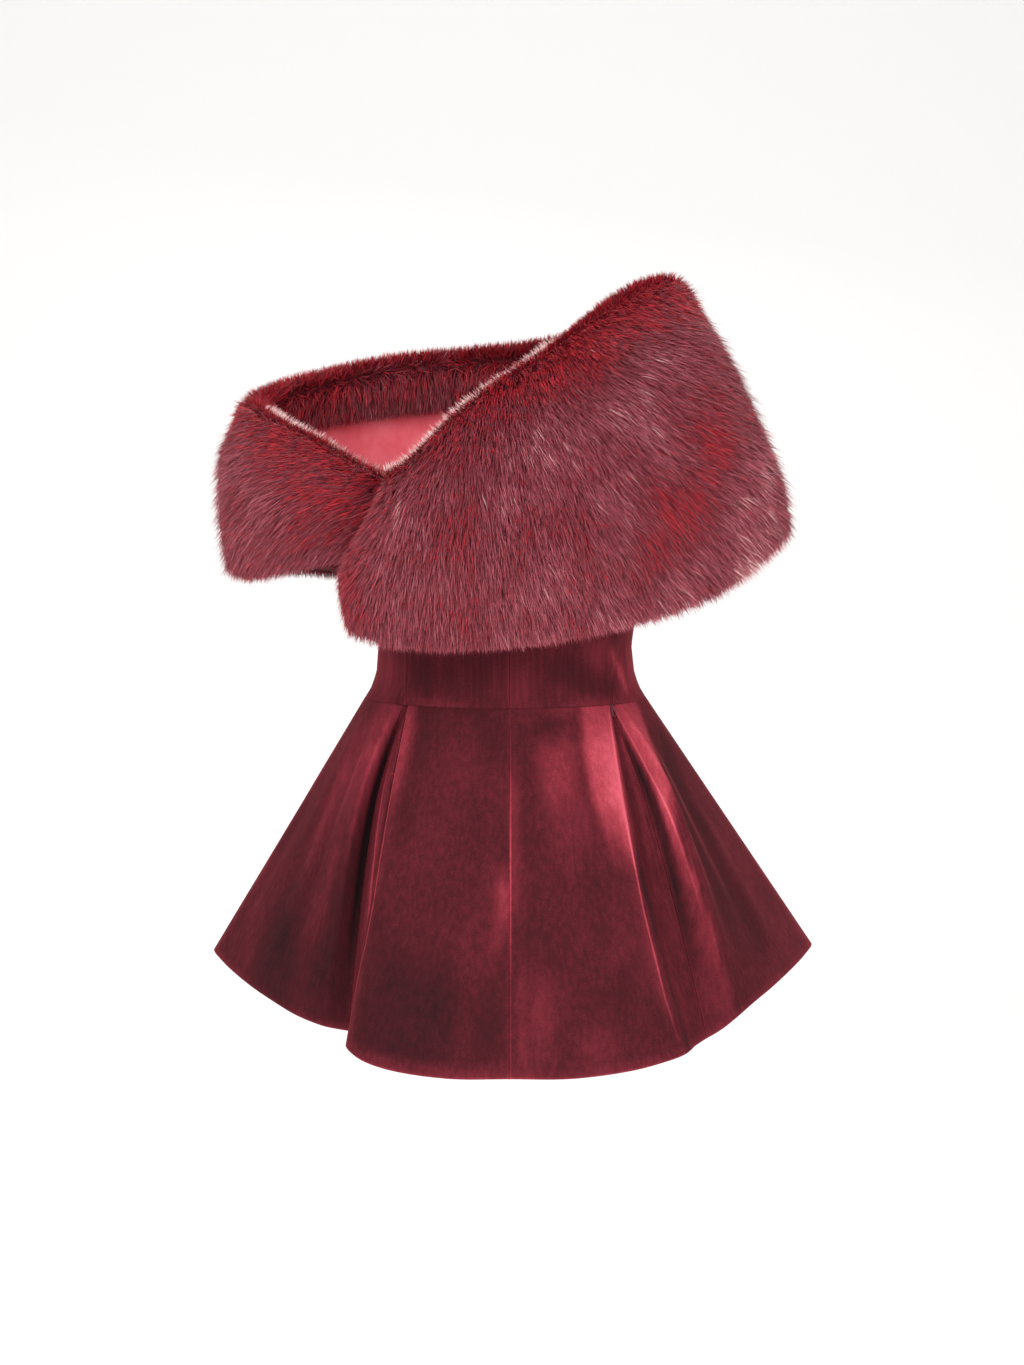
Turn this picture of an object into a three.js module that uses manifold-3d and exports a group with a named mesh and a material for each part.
// A fitted velvet mini dress with a flared, pleated skirt and a wide off-shoulder collar of long-pile fur.
// It keeps the hollow form that it has when worn. Millimetres, +Z up, the front faces -Y.
// The origin is the middle of the waist seam, where the fitted bodice grips its wearer.
import * as THREE from "three";
import { mergeVertices } from "three/addons/utils/BufferGeometryUtils.js";
import Module from "manifold-3d";

const wasm = await Module();
wasm.setup();

// Driving dimensions
const SEAM_GAP = 0.3; // between two pieces sewn together
const VELVET = 2.4; // wall of velvet, measured level through the flare
const FUR = 20; // outer fur of the collar, backing and lying pile
const FACING = 12; // fur turned in along the neck edge
const LINING = 1.3;
const SMALL_STEP = 0.02; // parameter step for slopes

const WAIST = { left: 141, right: 133, front: 92, back: 88 }; // half sizes of the waist seam
const HEM_FRONT = { x: 0, y: -248, z: -303 }; // the hem's lowest point, at the centre front
const PRINCESS_X = 98; // the long seams stand this far from the centre front

// Rings of the bodice from the waist seam to the top edge: half sizes at each height
const BODICE_RINGS = [
  { z: 0, ...WAIST },
  { z: 10, left: 135, right: 127, front: 90, back: 86 },
  { z: 24, left: 130, right: 122, front: 89, back: 85 },
  { z: 50, left: 128, right: 119, front: 90, back: 84 },
  { z: 90, left: 132, right: 124, front: 102, back: 87 },
  { z: 130, left: 141, right: 135, front: 116, back: 93 },
  { z: 168, left: 149, right: 145, front: 123, back: 101 },
  { z: 186, left: 151, right: 148, front: 123, back: 106 },
  { z: 196, left: 151, right: 148, front: 130, back: 119 },
];
const BODICE_STEPS = 6; // columns across one bodice panel

// Folds of the skirt from the centre front to the side, a row for each place where the cloth turns.
// Angle and tuck place the row on the waist seam, and x, y and z on the hem. Belly pushes it out between.
const FOLD_COLUMNS = ["name", "angle", "tuck", "x", "y", "z", "bellyX", "bellyY"];
const LEFT_FOLDS = [
  ["front panel", 15, 0, -53, -247, -303, 0, 0],
  ["front panel edge", 30, 0, -103, -240, -298, 0, 0],
  ["front lip start", 37.5, 0, -129, -229, -293, 0, 0],
  ["front lip", 41.8, 0, -142, -215, -289, 0, 0],
  ["front lip turn", 43.6, 2, -146, -200, -288, -1, 0],
  ["pleat wall", 44.6, 4.5, -140, -185, -288, 0, 0],
  ["underlay", 45.4, 5.5, -145, -172, -288, -7, -3],
  ["pleat seam", 46.4, 6.5, -147, -160, -288, -14, 10],
  ["side lip turn", 48, 3.5, -157, -157, -287, -15, 0],
  ["side lip", 50, 0.3, -171, -157, -284, -14, -6],
  ["side front", 55, 0, -197, -141, -279, -8, -4],
  ["side panel", 63, 0, -223, -114, -273, 0, 0],
  ["side panel rear", 73, 0, -252, -76, -267, 0, 0],
  ["side fold start", 84, 0, -284, -24, -259, 0, 0],
];
const LEFT_SIDE = ["left side seam", 90, 0, -295, 2, -255, 0, 0];
const RIGHT_FOLDS = [
  ["front panel", 15, 0, 55, -247, -303, 0, 0],
  ["front panel edge", 32, 0, 108, -240, -298, 0, 0],
  ["front lip start", 40.5, 0, 139, -227, -294, -1, 0],
  ["front lip", 44.6, 0, 156, -212, -293, -3, 0],
  ["front lip turn", 46.4, 2, 163, -199, -293, -4, 0],
  ["pleat wall", 47.4, 4.5, 168, -187, -293, 0, 4],
  ["pleat seam", 48.4, 6, 179, -175, -290, 8, 8],
  ["underlay", 49.8, 4.5, 191, -169, -285, 15, 0],
  ["side lip", 52, 0.5, 205, -162, -277, 20, -6],
  ["side front", 57, 0, 226, -138, -268, 8, -4],
  ["side panel", 64, 0, 251, -102, -261, 0, 0],
  ["side fold start", 82, 0, 289, -32, -252, 0, 0],
];
const RIGHT_SIDE = ["right side seam", 90, 0, 301, 2, -249, 0, 0];
const BACK_DEPTH = 0.95; // the back of the skirt stands out a little less than the front
const BELLY_PEAK = 0.34; // height of the belly as a share of the way down the skirt
const SKIRT_ROWS = [0, 0.05, 0.14, 0.26, 0.4, 0.55, 0.7, 0.85, 1];
const SKIRT_STEPS = 2; // columns from one fold to the next

// Sections of the collar's outer fur, from the end under the wrap round the left arm, the back and
// the right shoulder to the wrap's tip. Each row is a section from the neck edge to the lower edge.
const COLLAR_COLUMNS = ["name", "edge", "upper", "lower", "low"];
const COLLAR_SECTIONS = [
  ["end under wrap", [-84, -121, 206], [-86, -124, 181], [-88, -123, 156], [-90, -118, 134]],
  ["under wrap", [-109, -112, 219], [-111, -115, 189], [-113, -114, 158], [-113, -108, 133]],
  ["left front", [-137, -102, 236], [-143, -108, 200], [-146, -108, 165], [-146, -102, 135]],
  ["left chest", [-172, -88, 257], [-182, -99, 214], [-184, -101, 170], [-180, -94, 131]],
  ["left arm front", [-213, -62, 277], [-229, -80, 224], [-230, -84, 170], [-222, -77, 119]],
  ["left arm", [-246, -32, 291], [-264, -44, 232], [-265, -48, 172], [-256, -43, 115]],
  ["left side", [-258, 10, 299], [-280, 4, 238], [-281, 0, 176], [-276, 0, 120]],
  ["left arm back", [-236, 50, 310], [-257, 48, 243], [-261, 47, 176], [-254, 44, 118]],
  ["left shoulder blade", [-191, 81, 323], [-209, 86, 249], [-214, 87, 178], [-208, 80, 113]],
  ["left back", [-141, 102, 334], [-154, 110, 256], [-158, 113, 180], [-155, 105, 106]],
  ["back near left", [-90, 112, 341], [-98, 123, 262], [-100, 128, 182], [-98, 118, 100]],
  ["centre back left", [-33, 116, 346], [-36, 130, 266], [-36, 135, 184], [-36, 125, 97]],
  ["centre back right", [39, 114, 355], [36, 130, 272], [36, 135, 188], [36, 125, 96]],
  ["back near right", [92, 108, 368], [104, 122, 278], [110, 128, 190], [108, 117, 98]],
  ["right shoulder blade", [140, 90, 385], [170, 100, 286], [188, 106, 195], [190, 97, 116]],
  ["right arm back", [166, 58, 401], [214, 58, 294], [242, 57, 203], [248, 55, 142]],
  ["right side", [171, 22, 410], [228, 6, 298], [264, 0, 213], [277, 4, 157]],
  ["right arm", [153, -6, 413], [201, -38, 308], [226, -62, 204], [218, -68, 108]],
  ["right arm front", [126, -24, 405], [157, -74, 294], [167, -106, 182], [155, -109, 83]],
  ["right shoulder", [87, -52, 380], [101, -106, 273], [100, -134, 162], [93, -125, 68]],
  ["right chest", [39, -86, 343], [38, -126, 246], [35, -147, 146], [33, -134, 57]],
  ["centre chest", [-8, -107, 311], [-19, -140, 225], [-24, -150, 136], [-23, -137, 52]],
  ["wrap", [-50, -124, 277], [-67, -146, 205], [-74, -149, 126], [-72, -136, 52]],
  ["wrap corner", [-90, -135, 237], [-111, -145, 180], [-124, -141, 120], [-119, -130, 57]],
  ["wrap tip", [-111, -137, 223], [-140, -136, 171], [-161, -130, 125], [-152, -122, 66]],
];
const SIDE_SEAMS = [6, 16]; // sections where the left, back and right collar pieces meet
const FACING_ENDS = [3, 20]; // the turned-in fur runs out at these sections, behind the wraps
const LINING_END = 23; // the lining stops a section short of the wrap's tip
// Rows of points down a section, as shares of its length from the neck edge
const COLLAR_ROWS = [0, 0.03, 0.08, 0.15, 0.24, 0.38, 0.54, 0.7, 0.84, 0.93, 0.98, 1];
const FACING_ROWS = COLLAR_ROWS.slice(0, 5);
const LINING_ROWS = COLLAR_ROWS.slice(1, -1);
const COLLAR_STEPS = 3; // stations from one section to the next
const RIM = 16; // length over which the pile rises from an edge to its full depth
const EDGE_PILE = 0.3; // share of the pile's depth that is left at an edge
const TAIL_PILE = 0.55; // the pile is pressed to this share at the end under the wrap,
const TAIL_SECTIONS = 2; // and is back to its full depth this many sections on
const FACING_TAPER = 8; // thinning of the facing's ends, millimetres of rim for each section

const COLOURS = { velvet: 0x5e1724, fur: 0x8c2f3c, facing: 0x6d1f2b, lining: 0xd0485f };

const namedRows = (columns, rows) =>
  rows.map((row) => Object.fromEntries(columns.map((column, i) => [column, row[i]])));
const radians = THREE.MathUtils.degToRad;
const clamp01 = (value) => THREE.MathUtils.clamp(value, 0, 1);

// A closed solid between an outer and an inner grid of points, with a strip round all four borders.
// Rows run down the garment and columns run clockwise round it, seen from above.
function closedWall(outer, inner) {
  const rows = outer.length;
  const columns = outer[0].length;
  const positions = [outer, inner].flatMap((grid) => grid.flat().flatMap((p) => [p.x, p.y, p.z]));
  const outside = (r, c) => r * columns + c;
  const inside = (r, c) => rows * columns + r * columns + c;
  const index = [];
  const quad = (a, b, c, d) => index.push(a, b, c, c, b, d);
  const last = { row: rows - 1, column: columns - 1 };
  for (let r = 0; r < rows - 1; r++) {
    for (let c = 0; c < columns - 1; c++) {
      quad(outside(r, c), outside(r, c + 1), outside(r + 1, c), outside(r + 1, c + 1));
      quad(inside(r + 1, c + 1), inside(r, c + 1), inside(r + 1, c), inside(r, c));
    }
    quad(inside(r + 1, 0), inside(r, 0), outside(r + 1, 0), outside(r, 0));
    const near = outside(r, last.column);
    quad(near, inside(r, last.column), near + columns, inside(r + 1, last.column));
  }
  for (let c = 0; c < columns - 1; c++) {
    quad(inside(0, c), inside(0, c + 1), outside(0, c), outside(0, c + 1));
    const below = outside(last.row, c);
    quad(below, below + 1, inside(last.row, c), inside(last.row, c + 1));
  }
  const geometry = new THREE.BufferGeometry();
  geometry.setAttribute("position", new THREE.Float32BufferAttribute(positions, 3));
  geometry.setIndex(index);
  return geometry;
}

function solidOf(geometry) {
  const merged = mergeVertices(geometry, 1e-3);
  const { array } = merged.attributes.position;
  return new wasm.Manifold(
    new wasm.Mesh({ numProp: 3, vertProperties: array, triVerts: new Uint32Array(merged.index.array) }),
  );
}

function geometryOf(solid) {
  const mesh = solid.getMesh();
  const geometry = new THREE.BufferGeometry();
  geometry.setAttribute("position", new THREE.Float32BufferAttribute(mesh.vertProperties, mesh.numProp));
  geometry.setIndex(new THREE.Uint32BufferAttribute(mesh.triVerts, 1));
  return geometry;
}

// A point on an oval with its own half size towards each side; angle 0 is the front and 90 the left.
function ovalPoint(ring, angle, z) {
  const across = -Math.sin(radians(angle));
  const along = -Math.cos(radians(angle));
  const halfWidth = across < 0 ? ring.left : ring.right;
  const halfDepth = along < 0 ? ring.front : ring.back;
  return new THREE.Vector3(across * halfWidth, along * halfDepth, z);
}

const outward = (tangent) => new THREE.Vector3(-tangent.y, tangent.x, 0).normalize();

// The bodice is eight panels between the centre, long and side seams.
function bodiceRing(z) {
  const above = BODICE_RINGS.findIndex((ring) => ring.z >= z);
  const high = BODICE_RINGS[Math.max(above, 1)];
  const low = BODICE_RINGS[Math.max(above, 1) - 1];
  const share = (z - low.z) / (high.z - low.z);
  const mix = (side) => THREE.MathUtils.lerp(low[side], high[side], share);
  return { left: mix("left"), right: mix("right"), front: mix("front"), back: mix("back") };
}

function bodiceSeamAngles(ring) {
  const leftLong = THREE.MathUtils.radToDeg(Math.asin(PRINCESS_X / ring.left));
  const rightLong = THREE.MathUtils.radToDeg(Math.asin(PRINCESS_X / ring.right));
  return [0, leftLong, 90, 180 - leftLong, 180, 180 + rightLong, 270, 360 - rightLong, 360];
}

function bodicePanel(index) {
  const outer = [];
  const inner = [];
  for (const { z } of [...BODICE_RINGS].reverse()) {
    const ring = bodiceRing(z);
    const angles = bodiceSeamAngles(ring);
    const height = z === 0 ? SEAM_GAP / 2 : z;
    const outerRow = [];
    const innerRow = [];
    for (let step = 0; step <= BODICE_STEPS; step++) {
      const angle = THREE.MathUtils.lerp(angles[index], angles[index + 1], step / BODICE_STEPS);
      const point = ovalPoint(ring, angle, height);
      const behind = ovalPoint(ring, angle - SMALL_STEP, height);
      const tangent = ovalPoint(ring, angle + SMALL_STEP, height).sub(behind).normalize();
      const intoPanel = step === 0 ? 1 : step === BODICE_STEPS ? -1 : 0;
      point.addScaledVector(tangent, (intoPanel * SEAM_GAP) / 2);
      outerRow.push(point);
      innerRow.push(point.clone().addScaledVector(outward(tangent), -VELVET));
    }
    outer.push(outerRow);
    inner.push(innerRow);
  }
  return closedWall(outer, inner);
}

// The skirt is one closed run of folds: left front, left back, right back and right front.
function mirroredToBack(row, side) {
  const copy = { ...row, angle: 180 - row.angle, y: -row.y * BACK_DEPTH, bellyY: -row.bellyY };
  return side > 0 ? { ...copy, x: -copy.x, bellyX: -copy.bellyX, angle: -copy.angle } : copy;
}

function skirtFolds() {
  const left = namedRows(FOLD_COLUMNS, LEFT_FOLDS);
  const right = namedRows(FOLD_COLUMNS, RIGHT_FOLDS).map((row) => ({ ...row, angle: -row.angle }));
  const [leftSide, rightSide] = namedRows(FOLD_COLUMNS, [LEFT_SIDE, RIGHT_SIDE]);
  rightSide.angle = -rightSide.angle;
  const flat = { tuck: 0, bellyX: 0, bellyY: 0 };
  const centreFront = { name: "centre front", angle: 0, ...HEM_FRONT, ...flat };
  const centreBack = { ...centreFront, name: "centre back", angle: 180, y: -HEM_FRONT.y * BACK_DEPTH };
  const backLeft = left.map((row) => mirroredToBack(row, -1)).reverse();
  const backRight = left.map((row) => mirroredToBack(row, 1));
  const leftHalf = [centreFront, ...left, leftSide, ...backLeft];
  return [...leftHalf, centreBack, ...backRight, rightSide, ...right.reverse()];
}

const folds = skirtFolds();
const waistLine = new THREE.CatmullRomCurve3(
  folds.map(({ angle, tuck }) => {
    const point = ovalPoint(WAIST, angle, 0);
    return point.addScaledVector(point.clone().normalize(), -tuck);
  }),
  true,
  "centripetal",
);
const hemLine = new THREE.CatmullRomCurve3(
  folds.map(({ x, y, z }) => new THREE.Vector3(x, y, z)),
  true,
  "centripetal",
);
const bellyLine = new THREE.CatmullRomCurve3(
  folds.map(({ bellyX, bellyY }) => new THREE.Vector3(bellyX, bellyY, 0)),
  true,
  "centripetal",
);

// A point of the skirt's outer face: place counts the folds, drop runs from the waist seam to the hem.
function skirtPoint(place, drop) {
  const share = ((place / folds.length) % 1 + 1) % 1;
  const point = waistLine.getPoint(share).lerp(hemLine.getPoint(share), drop);
  const rise = drop < BELLY_PEAK ? drop / BELLY_PEAK : (1 - drop) / (1 - BELLY_PEAK);
  return point.addScaledVector(bellyLine.getPoint(share), Math.sin((rise * Math.PI) / 2));
}

function skirtPanel(from, to) {
  const count = (to - from) * SKIRT_STEPS;
  const outer = [];
  const inner = [];
  for (const drop of SKIRT_ROWS) {
    const outerRow = [];
    const innerRow = [];
    for (let c = 0; c <= count; c++) {
      const place = from + c / SKIRT_STEPS;
      const point = skirtPoint(place, drop);
      const tangent = skirtPoint(place + SMALL_STEP, drop).sub(skirtPoint(place - SMALL_STEP, drop));
      tangent.setZ(0).normalize();
      const intoPanel = c === 0 ? 1 : c === count ? -1 : 0;
      point.addScaledVector(tangent, (intoPanel * SEAM_GAP) / 2);
      if (drop === 0) point.z = -SEAM_GAP / 2;
      outerRow.push(point);
      innerRow.push(point.clone().addScaledVector(outward(tangent), -VELVET));
    }
    outer.push(outerRow);
    inner.push(innerRow);
  }
  return closedWall(outer, inner);
}

// The collar's outer fur face: place counts the sections, and drop runs from neck edge to lower edge.
const sections = namedRows(COLLAR_COLUMNS, COLLAR_SECTIONS);
const sectionLines = ["edge", "upper", "lower", "low"].map(
  (column) =>
    new THREE.CatmullRomCurve3(
      sections.map((section) => new THREE.Vector3(...section[column])),
      false,
      "centripetal",
    ),
);
function collarSection(place) {
  const share = clamp01(place / (sections.length - 1));
  return new THREE.CatmullRomCurve3(sectionLines.map((line) => line.getPoint(share)), false, "centripetal");
}

function collarPoint(place, drop) {
  return collarSection(place).getPoint(clamp01(drop));
}

function collarSlopes(place, drop) {
  const around = collarPoint(place + SMALL_STEP, drop).sub(collarPoint(place - SMALL_STEP, drop)).normalize();
  const down = collarPoint(place, drop + SMALL_STEP).sub(collarPoint(place, drop - SMALL_STEP)).normalize();
  return { around, normal: around.clone().cross(down).normalize() };
}

// The pile rises from a thin edge to its full depth over the rim, as a quarter round.
function pileShare(distance) {
  const inward = 1 - clamp01(distance / RIM);
  return EDGE_PILE + (1 - EDGE_PILE) * Math.sqrt(1 - inward * inward);
}

function pileDepth(place, drop) {
  const length = collarSection(place).getLength();
  const fromEdge = Math.min(drop, 1 - drop) * length;
  const last = sections.length - 1;
  const fromTip = collarPoint(place, drop).distanceTo(collarPoint(last, drop));
  const fromTail = clamp01(place / TAIL_SECTIONS);
  const pressed = THREE.MathUtils.lerp(TAIL_PILE, 1, fromTail);
  return FUR * pileShare(fromEdge) * pileShare(fromTip) * pressed;
}

// A run of the collar between two sections, between two offsets inward from the full fur face.
// Its ends stand half a seam gap inside the two sections, or reach past them by endReach.
function collarWall(from, to, rows, offsetsAt, endReach = -SEAM_GAP / 2) {
  const count = Math.round((to - from) * COLLAR_STEPS);
  const outer = rows.map(() => []);
  const inner = rows.map(() => []);
  for (let c = 0; c <= count; c++) {
    const place = from + c / COLLAR_STEPS;
    rows.forEach((drop, r) => {
      const { around, normal } = collarSlopes(place, drop);
      const beyond = c === 0 ? -1 : c === count ? 1 : 0;
      const point = collarPoint(place, drop).addScaledVector(around, beyond * endReach);
      const [near, far] = offsetsAt(place, drop);
      outer[r].push(point.clone().addScaledVector(normal, -near));
      inner[r].push(point.clone().addScaledVector(normal, -far));
    });
  }
  return closedWall(outer, inner);
}

const furOffsets = (place, drop) => [FUR - pileDepth(place, drop), FUR];
const furPiece = (from, to) => collarWall(from, to, COLLAR_ROWS, furOffsets);

const liningOuter = FUR + SEAM_GAP;
const liningInner = liningOuter + LINING;
const liningPiece = (from, to) => collarWall(from, to, LINING_ROWS, () => [liningOuter, liningInner]);

// The facing is the fur turned in over the lining, thin at its borders like the outer fur.
const facingTop = liningInner + SEAM_GAP;
const FACING_WIDTH = FACING_ROWS[FACING_ROWS.length - 1];
function facingOffsets(place, drop) {
  const length = collarSection(place).getLength();
  const fromEdge = Math.min(drop, FACING_WIDTH - drop) * length;
  const fromEnd = Math.min(place - FACING_ENDS[0], FACING_ENDS[1] - place) * FACING_TAPER;
  return [facingTop, facingTop + FACING * pileShare(fromEdge) * pileShare(fromEnd)];
}
const facingPiece = (from, to) => collarWall(from, to, FACING_ROWS, facingOffsets);

// The bodice's top edge is trimmed where it meets the lining that it is sewn to.
const COLLAR_END = sections.length - 1;
const [leftSeam, rightSeam] = SIDE_SEAMS;
const sewnTo = () => [0, liningInner + SEAM_GAP];
const trimShape = solidOf(collarWall(0, LINING_END, LINING_ROWS, sewnTo, SEAM_GAP));
const trimmedToCollar = (geometry) => geometryOf(solidOf(geometry).subtract(trimShape));

const materials = {
  velvet: new THREE.MeshStandardMaterial({ color: COLOURS.velvet, roughness: 0.85, metalness: 0 }),
  fur: new THREE.MeshStandardMaterial({ color: COLOURS.fur, roughness: 0.9, metalness: 0 }),
  facing: new THREE.MeshStandardMaterial({ color: COLOURS.facing, roughness: 0.9, metalness: 0 }),
  lining: new THREE.MeshStandardMaterial({ color: COLOURS.lining, roughness: 0.6, metalness: 0 }),
};

const PANEL_NAMES = [
  "front_left",
  "side_front_left",
  "side_back_left",
  "back_left",
  "back_right",
  "side_back_right",
  "side_front_right",
  "front_right",
];
const SEAM_FOLDS = ["centre front", "pleat seam", "left side seam", "centre back", "right side seam"];

const dress = new THREE.Group();

function addPiece(name, geometry, material) {
  const mesh = new THREE.Mesh(geometry, material);
  mesh.name = name;
  dress.add(mesh);
}

const seamPlaces = folds.flatMap(({ name }, i) => (SEAM_FOLDS.includes(name) ? [i] : []));
seamPlaces.push(folds.length);
PANEL_NAMES.forEach((name, i) => {
  addPiece("bodice_" + name, trimmedToCollar(bodicePanel(i)), materials.velvet);
  addPiece("skirt_" + name, skirtPanel(seamPlaces[i], seamPlaces[i + 1]), materials.velvet);
});

addPiece("collar_left_wrap", furPiece(0, leftSeam), materials.fur);
addPiece("collar_back", furPiece(leftSeam, rightSeam), materials.fur);
addPiece("collar_right_wrap", furPiece(rightSeam, COLLAR_END), materials.fur);
addPiece("lining_left", liningPiece(0, leftSeam), materials.lining);
addPiece("lining_back", liningPiece(leftSeam, rightSeam), materials.lining);
addPiece("lining_right", liningPiece(rightSeam, LINING_END), materials.lining);
addPiece("facing_left", facingPiece(FACING_ENDS[0], leftSeam), materials.facing);
addPiece("facing_back", facingPiece(leftSeam, rightSeam), materials.facing);
addPiece("facing_right", facingPiece(rightSeam, FACING_ENDS[1]), materials.facing);

export default dress;
